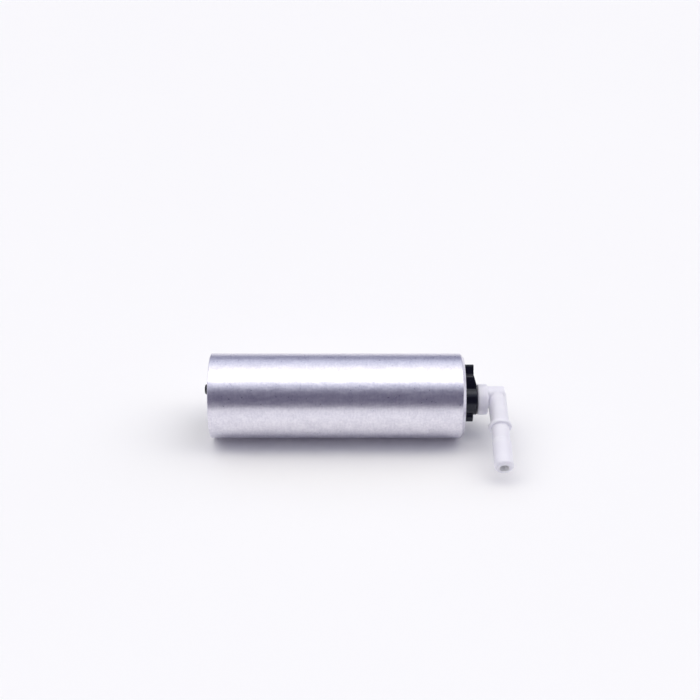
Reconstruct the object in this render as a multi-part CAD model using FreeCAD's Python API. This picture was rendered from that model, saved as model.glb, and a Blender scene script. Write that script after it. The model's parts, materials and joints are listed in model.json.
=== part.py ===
import FreeCAD, Part
import math
import os

# In-tank fuel pump lying on its side, in millimetres.
# The origin is the middle of the can on its axis. +X runs along the pump towards its outlet,
# +Y towards the back and +Z up. Angles about the pump's axis start at +Y and turn towards +Z.

# Can: a drawn aluminium tube with both ends rolled in over the stack of parts it holds,
# squarely at the inlet and over a slope at the outlet
can_diameter = 43.0
can_length = 128.0
can_wall = 1.0
can_edge_radius = 0.5
can_slope_length = 1.6
can_slope_drop = 2.0
can_lip_width = 4.4

# Fits and gaps
slip_fit = 0.10
press_gap = 0.04
running_fit = 0.04
side_gap = 0.04
seat_gap = 0.06
rotating_gap = 0.30
spring_slack = 0.10
overrun = 1.0
tiny = 0.001

# Shallow pockets moulded in both end faces, with ribs between them
face_pocket_depth = 1.2
face_rim_width = 1.6
face_rib_width = 1.2
inlet_pocket_count = 6
outlet_pocket_count = 3

# Inlet cover
inlet_cover_length = 8.0
inlet_cover_bevel = 0.5
inlet_bore_radius = 3.9
inlet_angle = 270.0
inlet_bore_land = 1.0
inlet_bore_lead = 0.5
inlet_face_recess = 0.4
strainer_peg_radius = 2.6
strainer_peg_length = 3.3
strainer_peg_offset = 3.2
strainer_peg_angle = 56.0
strainer_peg_chamfer = 0.5
kidney_depth = 2.0
kidney_span = 120.0

# Internal gear set: the inner gear has one tooth fewer than the ring of round lobes about it
inner_teeth = 6
gear_width = 8.0
eccentricity = 1.3
lobe_circle_radius = 13.65
lobe_radius = 4.5
gear_clearance = 0.06
outer_gear_wall = 3.2
gear_land = 0.5

# Shaft, its drive coupling and bushes
shaft_radius = 2.5
shaft_flat_depth = 0.7
shaft_pocket_depth = 2.2
coupling_thickness = 3.0
coupling_land = 2.0
finger_count = 3
first_finger_angle = 90.0
finger_radius = 1.0
finger_reach = 6.0
bush_wall = 2.2
port_plate_length = 7.0

# Motor
flux_ring_wall = 1.8
magnet_thickness = 4.2
magnet_span = 140.0
magnet_overhang = 2.0
clip_thickness = 0.8
clip_leg = 3.0
air_gap = 0.5
end_turn_room = 12.0
end_turn_length = 8.0
end_turn_round = 1.6
slot_count = 8
slot_radius = 2.6
slot_mouth = 1.6
slot_lip = 1.8
insulator_thickness = 1.0
insulation_gap = 0.2
commutator_radius = 7.5
commutator_length = 10.5
commutator_hub_wall = 2.9
riser_height = 1.1
riser_width = 1.2
bar_gap = 0.5
washer_thickness = 0.5
washer_wall = 2.2

# Brush plate, brushes and chokes
brush_disc_length = 6.0
skirt_length = 14.0
skirt_wall = 1.8
brush_stand_off = 7.0
brush_axial = 5.4
brush_width = 4.6
brush_travel = 2.0
guide_wall = 0.4
guide_block_wall = 1.2
guide_start_gap = 0.5
cap_thickness = 0.5
brush_spring_radius = 1.7
brush_spring_wire = 0.4
brush_spring_turns = 3.5
window_count = 3
window_start_wall = 2.4
window_span = 34.0
window_width = 5.0
choke_core_radius = 1.5
choke_core_length = 12.0
choke_winding_wall = 0.7
choke_winding_length = 9.0
choke_seat_depth = 0.8

# Outlet head with its electrical socket and valves
head_length = 13.0
head_face_recess = 0.4
boss_radius = 8.0
boss_height = 6.8
boss_edge_radius = 0.6
web_width = 12.2
web_top_drop = 0.4
web_top_reach = 5.5
web_corner = 1.6
port_offset = 1.9
gallery_depth = 4.0
gallery_wall = 3.4
head_seal_wire = 0.85
head_seal_setback = 5.0
connector_angle = 54.2
connector_height = 5.0
connector_radial = 5.6
connector_width = 11.6
connector_wall = 0.75
connector_corner = 1.2
connector_depth = 9.0
connector_lip_gap = 0.3
blade_thickness = 0.8
blade_width = 2.6
blade_spacing = 6.2
blade_tip_setback = 1.6
blade_chamfer = 0.25

# Check valve in the outlet port
seat_length = 2.5
seat_radius = 4.5
seat_hole_radius = 2.0
seat_chamfer = 0.7
poppet_radius = 3.3
poppet_head_length = 1.4
stem_radius = 0.9
stem_setback = 0.3
valve_travel = 2.0
guide_thickness = 1.2
guide_hub_radius = 2.0
guide_arm_count = 3
guide_arm_width = 1.4
guide_rim = 0.9
check_spring_radius = 1.9
check_spring_wire = 0.35
check_spring_turns = 3.5

# Relief valve in its turret beside the boss
relief_offset = 10.2
relief_turret_radius = 3.0
relief_turret_height = 4.9
relief_ball_radius = 1.75
relief_hole_radius = 1.2
relief_seat_length = 2.0
relief_plug_length = 1.6
relief_plug_recess = 0.2
relief_plug_hole_radius = 0.7
relief_spring_radius = 1.25
relief_spring_wire = 0.3
relief_spring_turns = 7.0

# Outlet elbow: its tail snaps into the boss, its leg ends in a quick-connect spigot
port_radius = 5.55
tail_wall = 2.2
elbow_seal_wire = 0.7
elbow_seal_setback = 1.7
snap_bead_height = 0.3
snap_bead_width = 1.0
snap_bead_setback = 2.2
hub_radius = 7.85
hub_length = 5.2
hub_edge = 0.5
hub_floor = 1.1
run_radius = 4.85
run_end_reach = 3.65
run_flat_height = 4.5
leg_reach = 5.0
leg_angle = 194.0
leg_root_radius = 4.75
leg_end_radius = 4.60
leg_back_reach = 0.5
elbow_bore_radius = 2.35
collar_start = 19.3
collar_thickness = 2.0
collar_radius = 5.85
collar_edge = 0.3
neck_length = 8.8
neck_radius = 4.5
spigot_radius = 4.745
spigot_length = 16.1
spigot_nose = 1.0

# How finely the springs' turns and the gear's flanks are divided
quarters_per_turn = 4
points_per_tooth = 16

X_AXIS = FreeCAD.Vector(1, 0, 0)
ORIGIN = FreeCAD.Vector(0, 0, 0)

# Radii that follow from the can inwards
can_radius = can_diameter / 2
can_bore_radius = can_radius - can_wall
lip_opening_radius = can_radius - can_lip_width
stack_radius = can_bore_radius - slip_fit
flux_bore_radius = stack_radius - flux_ring_wall
magnet_outer_radius = flux_bore_radius - slip_fit
magnet_bore_radius = magnet_outer_radius - magnet_thickness
core_radius = magnet_bore_radius - air_gap
slot_centre_radius = core_radius - slot_lip - slot_radius
skirt_bore_radius = stack_radius - skirt_wall
bush_radius = shaft_radius + running_fit + bush_wall

# The slope at the can's outlet end, outside and a wall's thickness inside
slope_slant = math.hypot(can_slope_length, can_slope_drop)
slope_end_radius = can_radius - can_slope_drop
slope_inner_length = can_slope_length + can_wall * ((slope_slant - can_slope_length) / can_slope_drop - 1)
slope_inner_drop = can_slope_drop + can_wall * ((slope_slant - can_slope_drop) / can_slope_length - 1)

# Radii of the gear set
outer_lobes = inner_teeth + 1
inner_tip_radius = lobe_circle_radius + eccentricity - lobe_radius - gear_clearance
inner_root_radius = lobe_circle_radius - eccentricity - lobe_radius - gear_clearance
outer_root_radius = inner_tip_radius + eccentricity + 2 * gear_clearance
outer_gear_radius = outer_root_radius + outer_gear_wall
kidney_inner_radius = inner_root_radius + gear_land
kidney_outer_radius = outer_root_radius - eccentricity - gear_land
coupling_radius = inner_root_radius - coupling_land
finger_circle_radius = (shaft_radius + coupling_radius) / 2
inlet_bore_offset = coupling_radius + slip_fit + inlet_bore_land + inlet_bore_radius

# Places along the axis, from the inlet end to the outlet
can_left = -can_length / 2
can_right = can_length / 2
cover_left = can_left + can_wall
chamber_left = cover_left + inlet_cover_length
chamber_right = chamber_left + gear_width + 2 * side_gap
plate_right = chamber_right + port_plate_length
head_shoulder = can_right - can_wall
slope_left = can_right - can_slope_length
head_left = head_shoulder - head_length
brush_disc_left = head_left - brush_disc_length
skirt_left = brush_disc_left - skirt_length
core_left = plate_right + end_turn_room
core_right = skirt_left - end_turn_room
brush_x = brush_disc_left - brush_stand_off
commutator_left = brush_x - commutator_length / 2
commutator_right = brush_x + commutator_length / 2
seat_left = head_left + gallery_depth
seat_right = seat_left + seat_length
poppet_left = seat_right - seat_chamfer + seat_gap
poppet_cone_top = poppet_left + poppet_radius - seat_hole_radius
poppet_back = poppet_cone_top + poppet_head_length
check_spring_room = valve_travel + check_spring_turns * check_spring_wire + 2 * seat_gap + spring_slack
guide_left = poppet_back + check_spring_room
guide_right = guide_left + guide_thickness
boss_right = can_right + boss_height
tail_left = guide_right + side_gap
hub_left = boss_right + rotating_gap
hub_right = hub_left + hub_length
leg_x = hub_right + leg_reach


def on_circle(radius, angle, x=0.0):
    """Point at a radius and an angle about the pump's axis."""
    turn = math.radians(angle)
    return FreeCAD.Vector(x, radius * math.cos(turn), radius * math.sin(turn))


def turned(shape, angle):
    """The shape turned about the pump's axis."""
    return shape.rotated(ORIGIN, X_AXIS, angle)


def lathe(profile, base=ORIGIN, axis=X_AXIS):
    """Solid turned from points of distance along the axis and radius."""
    points = [FreeCAD.Vector(along, radius, 0) for along, radius in profile]
    face = Part.Face(Part.makePolygon(points + [points[0]]))
    solid = face.revolve(ORIGIN, X_AXIS, 360)
    solid.Placement = FreeCAD.Placement(base, FreeCAD.Rotation(X_AXIS, axis))
    return solid


def rod(left, right, radius, centre=ORIGIN):
    """Round bar along X, centred on a point of the YZ plane."""
    base = FreeCAD.Vector(left, centre.y, centre.z)
    return Part.makeCylinder(radius, right - left, base, X_AXIS)


def tube(left, right, outer_radius, inner_radius, centre=ORIGIN):
    """Round tube along X."""
    bore = rod(left - overrun, right + overrun, inner_radius, centre)
    return rod(left, right, outer_radius, centre).cut(bore)


def sector(left, right, inner_radius, outer_radius, middle_angle, span):
    """Part of a tube, from one angle about the axis to another."""
    corners = [(left, inner_radius), (right, inner_radius), (right, outer_radius), (left, outer_radius)]
    points = [FreeCAD.Vector(x, radius, 0) for x, radius in corners]
    face = Part.Face(Part.makePolygon(points + [points[0]]))
    return turned(face.revolve(ORIGIN, X_AXIS, span), middle_angle - span / 2)


def radial_block(left, right, inner, outer, width, angle, shift=0.0):
    """Box that reaches outwards at an angle about the axis, shifted sideways if asked."""
    base = FreeCAD.Vector(left, inner, shift - width / 2)
    return turned(Part.makeBox(right - left, outer - inner, width, base), angle)


def tangent_arcs(start, start_way, finish, finish_way):
    """Two arcs that leave one point along a direction and reach another along its own."""
    chord = finish - start
    ways = start_way + finish_way
    square = ways.dot(ways) - 4
    reach = (chord.dot(ways) - math.sqrt(chord.dot(ways) ** 2 - square * chord.dot(chord))) / square
    first_corner = start + start_way * reach
    second_corner = finish - finish_way * reach
    joint = (first_corner + second_corner) / 2
    arcs = []
    for left, corner, right in ((start, first_corner, joint), (joint, second_corner, finish)):
        weight = (right - left).Length / (2 * reach)
        middle = (left + corner * (2 * weight) + right) / (2 + 2 * weight)
        arcs.append(Part.Arc(left, middle, right).toShape())
    return arcs


def coil(radius, wire, length, turns, base, axis=X_AXIS):
    """Compression spring between two planes a length apart, its turns made of tangent arcs."""
    climb = (length - wire) / (2 * math.pi * turns)
    steps = round(turns * quarters_per_turn)
    points = []
    ways = []
    for index in range(steps + 1):
        turn = 2 * math.pi * turns * index / steps
        across = radius * math.cos(turn)
        upright = radius * math.sin(turn)
        points.append(FreeCAD.Vector(wire / 2 + climb * turn, across, upright))
        way = FreeCAD.Vector(climb, -upright, across)
        ways.append(way / way.Length)
    edges = []
    for index in range(steps):
        edges += tangent_arcs(points[index], ways[index], points[index + 1], ways[index + 1])
    section = Part.Wire(Part.makeCircle(wire / 2, points[0], ways[0]))
    solid = Part.Wire(edges).makePipeShell([section], True, False)
    solid.Placement = FreeCAD.Placement(base, FreeCAD.Rotation(X_AXIS, axis))
    return solid


def end_edges(shape, x):
    """Edges of the shape that lie in the plane at x."""
    flat = [edge for edge in shape.Edges if edge.BoundBox.XLength < tiny]
    return [edge for edge in flat if abs(edge.BoundBox.XMin - x) < tiny]


def ring_seal(x, ring_radius, wire_radius, centre=ORIGIN):
    """O-ring about X."""
    return Part.makeTorus(ring_radius, wire_radius, FreeCAD.Vector(x, centre.y, centre.z), X_AXIS)


def fuse_all(shapes):
    """One solid from several that meet."""
    return shapes[0].multiFuse(shapes[1:]).removeSplitter()


def cut_all(shape, tools):
    """The shape with every tool taken away."""
    for tool in tools:
        shape = shape.cut(tool)
    return shape


def make_can():
    """Tube with an inward lip at each end."""
    can = lathe([
        (can_left, lip_opening_radius),
        (can_left, can_radius),
        (slope_left, can_radius),
        (can_right, slope_end_radius),
        (can_right, lip_opening_radius),
        (head_shoulder, lip_opening_radius),
        (head_shoulder, can_bore_radius - slope_inner_drop),
        (head_shoulder - slope_inner_length, can_bore_radius),
        (cover_left, can_bore_radius),
        (cover_left, lip_opening_radius),
    ])
    corners = []
    for x, radius in ((can_left, can_radius), (slope_left, can_radius), (can_right, slope_end_radius)):
        corners += [edge for edge in end_edges(can, x) if abs(edge.Curve.Radius - radius) < tiny]
    return can.makeFillet(can_edge_radius, corners)


def end_plug(inner_x, shoulder_x, face_x, bevel_length, bevel_drop):
    """Round body that fills the can up to its lip, with a raised face inside the lip."""
    inward = math.copysign(bevel_length, inner_x - shoulder_x)
    face_radius = lip_opening_radius - slip_fit
    return lathe([
        (inner_x, 0),
        (inner_x, stack_radius),
        (shoulder_x + inward, stack_radius),
        (shoulder_x, stack_radius - bevel_drop),
        (shoulder_x, face_radius),
        (face_x, face_radius),
        (face_x, 0),
    ])


def half_angle(half_width, radius):
    """Half the angle about the axis that a width takes at a radius, in degrees."""
    return math.degrees(math.asin(half_width / radius))


def face_pockets(left, right, inner_radius, first_angle, last_angle, count):
    """Shallow pockets side by side in an end face."""
    outer_radius = lip_opening_radius - face_rim_width
    pitch = (last_angle - first_angle) / count
    span = pitch - 2 * half_angle(face_rib_width / 2, inner_radius)
    pockets = []
    for index in range(count):
        middle = first_angle + (index + 0.5) * pitch
        pockets.append(sector(left, right, inner_radius, outer_radius, middle, span))
    return pockets


def kidney(left, right, middle_angle):
    """Port that follows the pumping chambers on one side of the gear set."""
    return sector(left, right, kidney_inner_radius, kidney_outer_radius, middle_angle, kidney_span)


def shaft_bar(left, right, radius, flat_depth):
    """Round bar with a flat on one side."""
    flat = shaft_radius - flat_depth
    past = flat + radius
    waste = radial_block(left - overrun, right + overrun, flat, past, 2 * radius, first_finger_angle)
    return rod(left, right, radius).cut(waste)


def make_inlet_cover():
    """Moulded cover with the inlet bore, a peg for the strainer and the suction port."""
    face_x = can_left + inlet_face_recess
    body = end_plug(chamber_left, cover_left, face_x, inlet_cover_bevel, inlet_cover_bevel)
    peg_centre = on_circle(strainer_peg_offset, strainer_peg_angle)
    peg_left = can_left - strainer_peg_length
    peg = rod(peg_left, cover_left, strainer_peg_radius, peg_centre)
    peg = peg.makeChamfer(strainer_peg_chamfer, end_edges(peg, peg_left))
    kidney_left = chamber_left - kidney_depth
    bore_centre = on_circle(inlet_bore_offset, inlet_angle)
    bore = rod(face_x - overrun, kidney_left, inlet_bore_radius, bore_centre)
    lead = lathe([
        (face_x, 0),
        (face_x, inlet_bore_radius + inlet_bore_lead),
        (face_x + inlet_bore_lead, inlet_bore_radius),
        (face_x + inlet_bore_lead, 0),
    ], bore_centre)
    pocket_left = chamber_left - coupling_thickness - 2 * side_gap
    pocket = rod(pocket_left, chamber_left + overrun, coupling_radius + slip_fit)
    shaft_pocket = rod(pocket_left - shaft_pocket_depth, chamber_left, shaft_radius + slip_fit)
    suction = kidney(kidney_left, chamber_left + overrun, inlet_angle)
    bore_keep = inlet_bore_radius + inlet_bore_lead + face_rib_width / 2
    bore_angle = half_angle(bore_keep, inlet_bore_offset)
    pockets = face_pockets(
        face_x - overrun, face_x + face_pocket_depth,
        strainer_peg_offset + strainer_peg_radius + face_rib_width,
        inlet_angle + bore_angle, inlet_angle + 360 - bore_angle, inlet_pocket_count,
    )
    cuts = [bore, lead, pocket, shaft_pocket, suction] + pockets
    return cut_all(body.fuse(peg), cuts).removeSplitter()


def make_chamber_ring():
    """Steel ring whose bore lies off the axis by the eccentricity."""
    bore_centre = on_circle(eccentricity, 0)
    return rod(chamber_left, chamber_right, stack_radius).cut(
        rod(chamber_left - overrun, chamber_right + overrun, outer_gear_radius + running_fit, bore_centre)
    )


def make_outer_gear():
    """Ring with round inward lobes, one more than the inner gear has teeth."""
    left = chamber_left + side_gap
    right = chamber_right - side_gap
    centre = on_circle(eccentricity, 0)
    opening = rod(left - overrun, right + overrun, outer_root_radius, centre)
    for index in range(outer_lobes):
        lobe_centre = centre + on_circle(lobe_circle_radius, index * 360 / outer_lobes)
        lobe = rod(left - 2 * overrun, right + 2 * overrun, lobe_radius, lobe_centre)
        opening = opening.cut(lobe)
    return rod(left, right, outer_gear_radius, centre).cut(opening)


def inner_gear_point(turn):
    """Point of the inner gear's flank: the lobe centre's path, moved in by the lobe radius."""
    path_y = lobe_circle_radius * math.cos(turn) + eccentricity * math.cos(outer_lobes * turn)
    path_z = lobe_circle_radius * math.sin(turn) + eccentricity * math.sin(outer_lobes * turn)
    orbit = eccentricity * outer_lobes
    along_y = -lobe_circle_radius * math.sin(turn) - orbit * math.sin(outer_lobes * turn)
    along_z = lobe_circle_radius * math.cos(turn) + orbit * math.cos(outer_lobes * turn)
    speed = math.hypot(along_y, along_z)
    inward = (lobe_radius + gear_clearance) / speed
    return FreeCAD.Vector(0, path_y - along_z * inward, path_z + along_y * inward)


def finger_centres():
    """Centres of the coupling's fingers in the YZ plane."""
    angles = [first_finger_angle + index * 360 / finger_count for index in range(finger_count)]
    return [on_circle(finger_circle_radius, angle) for angle in angles]


def make_inner_gear():
    """Driven gear with a round bore and a hole for each finger of the coupling."""
    count = points_per_tooth * inner_teeth
    points = [inner_gear_point(2 * math.pi * index / count) for index in range(count)]
    outline = Part.BSplineCurve()
    outline.interpolate(Points=points, PeriodicFlag=True)
    face = Part.Face(Part.Wire(outline.toShape()))
    face.translate(FreeCAD.Vector(chamber_left + side_gap, 0, 0))
    gear = face.extrude(FreeCAD.Vector(gear_width, 0, 0))
    left = chamber_left - overrun
    right = chamber_right + overrun
    holes = [rod(left, right, shaft_radius + press_gap)]
    for centre in finger_centres():
        holes.append(rod(left, right, finger_radius + press_gap, centre))
    return cut_all(gear, holes)


def make_drive_coupling():
    """Moulded disc on the shaft's flat, with fingers that reach into the inner gear."""
    left = chamber_left - coupling_thickness - side_gap
    right = chamber_left - side_gap
    disc = rod(left, right, coupling_radius)
    for centre in finger_centres():
        disc = disc.fuse(rod(left, chamber_left + finger_reach, finger_radius, centre))
    hole_radius = shaft_radius + press_gap
    hole = shaft_bar(left - overrun, right + overrun, hole_radius, shaft_flat_depth - press_gap)
    return disc.cut(hole).removeSplitter()


def make_port_plate():
    """Steel plate with the pressure port and the seat of the front bush."""
    plate = rod(chamber_right, plate_right, stack_radius)
    left = chamber_right - overrun
    right = plate_right + overrun
    bush_hole = rod(left, right, bush_radius + press_gap)
    pressure = kidney(left, right, inlet_angle - 180)
    return cut_all(plate, [bush_hole, pressure])


def make_front_bush():
    """Bearing bush in the port plate, set back from the gear set."""
    return tube(chamber_right + rotating_gap, plate_right, bush_radius, shaft_radius + running_fit)


def make_rear_bush():
    """Bearing bush in the brush plate."""
    return tube(brush_disc_left, head_left, bush_radius, shaft_radius + running_fit)


def make_shaft():
    """Motor shaft, with a flat at the pump end for the coupling."""
    left = chamber_left - coupling_thickness - shaft_pocket_depth
    right = head_left - 2 * rotating_gap
    flat_end = chamber_left - side_gap
    driven_end = shaft_bar(left, flat_end, shaft_radius, shaft_flat_depth)
    return driven_end.fuse(rod(flat_end, right, shaft_radius)).removeSplitter()


def make_flux_ring():
    """Steel tube that closes the magnets' field and spaces the stack."""
    return tube(plate_right, skirt_left, stack_radius, flux_bore_radius)


def make_magnet(middle_angle):
    """Ferrite shell inside the flux ring."""
    left = core_left - magnet_overhang
    right = core_right + magnet_overhang
    return sector(left, right, magnet_bore_radius, magnet_outer_radius, middle_angle, magnet_span)


def make_magnet_clips():
    """Two spring channels that wedge the magnets apart."""
    left = core_left - magnet_overhang
    right = core_right + magnet_overhang
    edge_gap = math.degrees(slip_fit / magnet_bore_radius)
    span = 180 - magnet_span - 2 * edge_gap
    leg_angle_width = math.degrees(clip_thickness / magnet_outer_radius)
    hollow_top = magnet_outer_radius - clip_thickness
    clips = []
    for middle_angle in (0, 180):
        foot = magnet_outer_radius - clip_leg
        channel = sector(left, right, foot, magnet_outer_radius, middle_angle, span)
        hollow_span = span - 2 * leg_angle_width
        hollow = sector(
            left - overrun, right + overrun, foot - overrun, hollow_top, middle_angle, hollow_span
        )
        clips.append(channel.cut(hollow))
    return Part.makeCompound(clips)


def slotted_disc(left, right):
    """Round stack with winding slots open at its rim."""
    disc = tube(left, right, core_radius, shaft_radius + press_gap)
    rim = core_radius + overrun
    for index in range(slot_count):
        angle = index * 360 / slot_count
        centre = on_circle(slot_centre_radius, angle)
        slot = rod(left - overrun, right + overrun, slot_radius, centre)
        mouth = radial_block(left - overrun, right + overrun, slot_centre_radius, rim, slot_mouth, angle)
        disc = disc.cut(slot).cut(mouth)
    return disc


def make_core_insulators():
    """Fibre disc at each end of the armature core."""
    left_disc = slotted_disc(core_left - insulator_thickness, core_left)
    right_disc = slotted_disc(core_right, core_right + insulator_thickness)
    return Part.makeCompound([left_disc, right_disc])


def end_turns(left, right):
    """Rounded ring of crossed wire at one end of the core."""
    inner = slot_centre_radius - slot_radius + insulation_gap
    outer = slot_centre_radius + slot_radius
    return lathe([
        (left, inner),
        (left, outer - end_turn_round),
        (left + end_turn_round, outer),
        (right - end_turn_round, outer),
        (right, outer - end_turn_round),
        (right, inner),
    ])


def make_windings():
    """Coils: a bar of wire in each slot, joined by the end turns."""
    inner_left = core_left - insulator_thickness
    inner_right = core_right + insulator_thickness
    pieces = [end_turns(inner_left - end_turn_length, inner_left)]
    pieces.append(end_turns(inner_right, inner_right + end_turn_length))
    for index in range(slot_count):
        centre = on_circle(slot_centre_radius, index * 360 / slot_count)
        bar_radius = slot_radius - insulation_gap
        pieces.append(rod(inner_left - overrun, inner_right + overrun, bar_radius, centre))
    return fuse_all(pieces)


def make_commutator_hub():
    """Moulded sleeve under the copper bars."""
    outer = shaft_radius + commutator_hub_wall - press_gap
    return tube(commutator_left, commutator_right, outer, shaft_radius + press_gap)


def make_commutator_bars():
    """Copper bars, one for each slot, with a riser at the winding end."""
    inner = shaft_radius + commutator_hub_wall
    riser = commutator_left + riser_width
    ring = lathe([
        (commutator_left, inner),
        (commutator_left, commutator_radius + riser_height),
        (riser, commutator_radius + riser_height),
        (riser, commutator_radius),
        (commutator_right, commutator_radius),
        (commutator_right, inner),
    ])
    left = commutator_left - overrun
    right = commutator_right + overrun
    reach = commutator_radius + riser_height + overrun
    for index in range(slot_count):
        angle = (index + 0.5) * 360 / slot_count
        ring = ring.cut(radial_block(left, right, 0, reach, bar_gap, angle))
    return ring


def make_thrust_washers():
    """Washer on the shaft beside each bush."""
    outer = shaft_radius + washer_wall
    inner = shaft_radius + press_gap
    front = plate_right + slip_fit
    rear = brush_disc_left - slip_fit
    washers = [tube(front, front + washer_thickness, outer, inner)]
    washers.append(tube(rear - washer_thickness, rear, outer, inner))
    return Part.makeCompound(washers)


# The brushes lie along Y: the front one at 180 degrees, the rear one at 0
guide_axial = brush_axial + 2 * slip_fit + 2 * guide_wall
guide_width = brush_width + 2 * slip_fit + 2 * guide_wall
block_axial = guide_axial + 2 * press_gap + 2 * guide_block_wall
block_width = guide_width + 2 * press_gap + 2 * guide_block_wall
block_outer = math.sqrt(skirt_bore_radius ** 2 - (block_width / 2) ** 2) - cap_thickness - rotating_gap
block_inner = commutator_radius + riser_height + guide_start_gap
brush_inner = commutator_radius + seat_gap
brush_spring_room = brush_travel + brush_spring_turns * brush_spring_wire + 2 * seat_gap + spring_slack
brush_outer = block_outer - brush_spring_room
connector_centre_radius = math.sqrt(
    (lip_opening_radius - connector_lip_gap) ** 2 - (connector_width / 2) ** 2
) - connector_radial / 2


def blade_centre(side):
    """Centre of one terminal blade in the YZ plane, side is -1 or 1."""
    along = on_circle(connector_centre_radius, connector_angle)
    return along + on_circle(side * blade_spacing / 2, connector_angle - 90)


def blade_block(left, right, side, gap=0.0):
    """Box of one terminal blade, grown by a gap."""
    inner = connector_centre_radius - blade_width / 2 - gap
    outer = connector_centre_radius + blade_width / 2 + gap
    shift = -side * blade_spacing / 2
    return radial_block(left, right, inner, outer, blade_thickness + 2 * gap, connector_angle, shift)


def make_brush_plate():
    """Moulded plate with the skirt, the brush guide blocks and the flow windows."""
    disc = rod(brush_disc_left, head_left, stack_radius)
    skirt = tube(skirt_left, brush_disc_left, stack_radius, skirt_bore_radius)
    plate = fuse_all([disc, skirt])
    for angle in (0, 180):
        left = brush_x - block_axial / 2
        block = radial_block(left, brush_disc_left, block_inner, block_outer, block_width, angle)
        plate = plate.fuse(block)
    disc_start = brush_disc_left - overrun
    disc_end = head_left + overrun
    cuts = [rod(disc_start, disc_end, bush_radius + press_gap)]
    half_axial = guide_axial / 2 + press_gap
    for angle in (0, 180):
        cuts.append(radial_block(
            brush_x - half_axial, brush_x + half_axial, block_inner - overrun, block_outer + overrun,
            guide_width + 2 * press_gap, angle,
        ))
    window_inner = bush_radius + window_start_wall
    for index in range(window_count):
        angle = connector_angle + (index + 1) * 360 / (window_count + 1)
        cuts.append(sector(
            disc_start, disc_end, window_inner, window_inner + window_width, angle, window_span
        ))
    choke_seat_end = brush_disc_left + choke_seat_depth + press_gap
    for side in (-1, 1):
        cuts.append(blade_block(brush_disc_left, disc_end, side, press_gap))
        cuts.append(rod(disc_start, choke_seat_end, choke_core_radius + press_gap, blade_centre(side)))
    return cut_all(plate, cuts)


def make_brush_guides():
    """Brass tubes of rectangular section in the guide blocks."""
    guides = []
    for angle in (0, 180):
        outer = radial_block(
            brush_x - guide_axial / 2, brush_x + guide_axial / 2, block_inner, block_outer,
            guide_width, angle,
        )
        hole_axial = guide_axial / 2 - guide_wall
        hole = radial_block(
            brush_x - hole_axial, brush_x + hole_axial, block_inner - overrun, block_outer + overrun,
            guide_width - 2 * guide_wall, angle,
        )
        guides.append(outer.cut(hole))
    return Part.makeCompound(guides)


def make_spring_caps():
    """Bent brass plates that close the guides and hold the springs."""
    caps = []
    for angle in (0, 180):
        caps.append(radial_block(
            brush_x - guide_axial / 2, brush_x + guide_axial / 2, block_outer,
            block_outer + cap_thickness, guide_width, angle,
        ))
    return Part.makeCompound(caps)


def make_brush(angle):
    """Carbon block with a hollow end that fits the commutator."""
    half = brush_axial / 2
    block = radial_block(brush_x - half, brush_x + half, 0, brush_outer, brush_width, angle)
    return block.cut(rod(brush_x - brush_axial, brush_x + brush_axial, brush_inner))


def make_brush_spring(angle):
    """Spring between the brush and its cap."""
    length = block_outer - brush_outer - 2 * seat_gap
    base = on_circle(brush_outer + seat_gap, angle, brush_x)
    outwards = on_circle(1, angle)
    return coil(brush_spring_radius, brush_spring_wire, length, brush_spring_turns, base, outwards)


def make_choke_cores():
    """Ferrite rods that stand in the brush plate, one in line with each blade."""
    right = brush_disc_left + choke_seat_depth
    left = right - choke_core_length
    return Part.makeCompound([rod(left, right, choke_core_radius, blade_centre(side)) for side in (-1, 1)])


def make_choke_windings():
    """Copper sleeves round the ferrite rods."""
    right = brush_disc_left - rotating_gap
    left = right - choke_winding_length
    inner = choke_core_radius + press_gap
    outer = inner + choke_winding_wall
    return Part.makeCompound([tube(left, right, outer, inner, blade_centre(side)) for side in (-1, 1)])


connector_right = can_right + connector_height


def make_terminal(side):
    """Blade from the choke to the electrical socket, with a chamfered tip."""
    left = brush_disc_left + choke_seat_depth + slip_fit
    right = connector_right - blade_tip_setback
    blade = blade_block(left, right, side)
    return blade.makeChamfer(blade_chamfer, end_edges(blade, right))


def rounded_column(left, right, radial, width, corner, centre_radius):
    """Rounded bar of oblong section along X, at the connector's angle."""
    inner = centre_radius - radial / 2
    box = Part.makeBox(right - left, radial, width, FreeCAD.Vector(left, inner, -width / 2))
    long_edges = [edge for edge in box.Edges if edge.BoundBox.XLength > (right - left) / 2]
    return turned(box.makeFillet(corner, long_edges), connector_angle)


def socket_web():
    """Block between the boss and the electrical socket, its end sloping towards the socket."""
    top = boss_right - web_top_drop
    reach = connector_centre_radius - connector_radial / 2 + connector_wall / 2
    slope = [(top, web_top_reach), (connector_right, reach)]
    profile = [(head_shoulder, 0), (top, 0)] + slope + [(head_shoulder, reach)]
    points = [FreeCAD.Vector(x, radius, -web_width / 2) for x, radius in profile]
    block = Part.Face(Part.makePolygon(points + [points[0]])).extrude(FreeCAD.Vector(0, 0, web_width))
    outer = [edge for edge in block.Edges if edge.BoundBox.YMin > reach - tiny]
    corners = [edge for edge in outer if edge.BoundBox.XLength > tiny]
    return turned(block.makeFillet(web_corner, corners), connector_angle)


port_centre = on_circle(port_offset, connector_angle + 180)
relief_centre = on_circle(relief_offset, connector_angle + 180)
relief_bore_radius = relief_ball_radius + slip_fit
relief_seat_x = seat_left + relief_seat_length
relief_turret_right = can_right + relief_turret_height
relief_plug_right = relief_turret_right - relief_plug_recess
relief_plug_left = relief_plug_right - relief_plug_length
tail_radius = port_radius - running_fit
head_seal_x = head_shoulder - head_seal_setback
bead_x = hub_left - snap_bead_setback


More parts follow.
